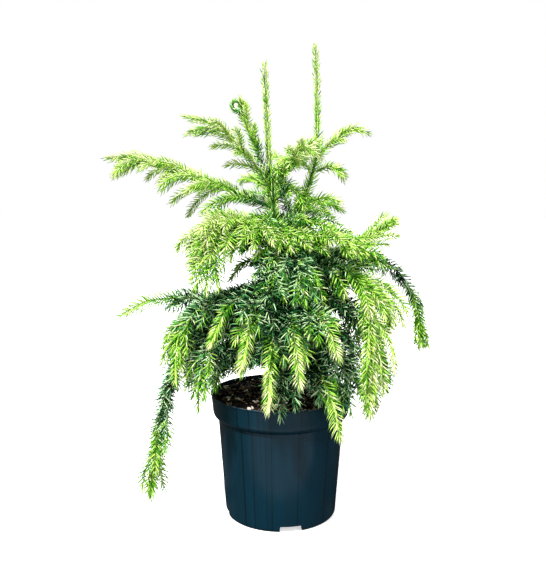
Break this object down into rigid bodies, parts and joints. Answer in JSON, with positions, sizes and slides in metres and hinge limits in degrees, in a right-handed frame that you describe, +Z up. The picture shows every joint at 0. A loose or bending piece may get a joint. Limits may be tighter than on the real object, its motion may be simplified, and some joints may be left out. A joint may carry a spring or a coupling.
{
  "type": "potted cryptomeria",
  "caption": "Young cryptomeria with arching, drooping sprays of short needles and upright leading shoots, standing in a round, rimmed nursery pot filled with soil.",
  "frame": {"origin": "centre of the pot's flat underside, where it stands on the ground", "axes": "+Z up, +X to the right of the picture, -Y towards the picture's viewer"},
  "size_m": [0.4499, 0.3352, 0.6272],
  "materials": {
    "pot_plastic": "satin, dark blue-green plastic",
    "soil_bark": "rough, dark potting soil with bark chips",
    "bark": "matt, thin brown bark",
    "foliage": "soft green needles, yellow-green at the tips"
  },
  "bodies": {
    "root": {"bough_fall_right": "bark", "bough_fall_right_outer": "bark", "bough_far_right": "bark", "bough_high_back": "bark", "bough_high_back_right": "bark", "bough_high_left": "bark", "bough_high_right": "bark", "bough_mid_back": "bark", "bough_mid_back_left": "bark", "bough_mid_right": "bark", "bough_reach_left": "bark", "bough_shawl_left": "bark", "bough_trail_left": "bark", "foliage_arch_inner": "foliage", "foliage_crown_back": "foliage", "foliage_crown_curl": "foliage", "foliage_crown_front": "foliage", "foliage_crown_left": "foliage", "foliage_crown_right": "foliage", "foliage_fall_right": "foliage", "foliage_fall_right_outer": "foliage", "foliage_far_right": "foliage", "foliage_front_left": "foliage", "foliage_front_long": "foliage", "foliage_front_mid": "foliage", "foliage_front_mid_left": "foliage", "foliage_front_mid_right": "foliage", "foliage_high_back": "foliage", "foliage_high_back_right": "foliage", "foliage_high_left": "foliage", "foliage_high_right": "foliage", "foliage_inner_front": "foliage", "foliage_inner_front_right": "foliage", "foliage_inner_left": "foliage", "foliage_leader": "foliage", "foliage_low_back": "foliage", "foliage_low_back_left": "foliage", "foliage_low_back_right": "foliage", "foliage_low_left_bright": "foliage", "foliage_low_left_inner": "foliage", "foliage_low_left_rim": "foliage", "foliage_low_right": "foliage", "foliage_low_right_dark": "foliage", "foliage_mid_back": "foliage", "foliage_mid_back_left": "foliage", "foliage_mid_right": "foliage", "foliage_reach_left": "foliage", "foliage_rim_right": "foliage", "foliage_second_leader": "foliage", "foliage_shawl_front": "foliage", "foliage_shawl_left": "foliage", "foliage_spur_right": "foliage", "foliage_trail_left": "foliage", "pot": "pot_plastic", "second_stem": "bark", "soil": "soil_bark", "trunk": "bark"}
  },
  "joints": []
}
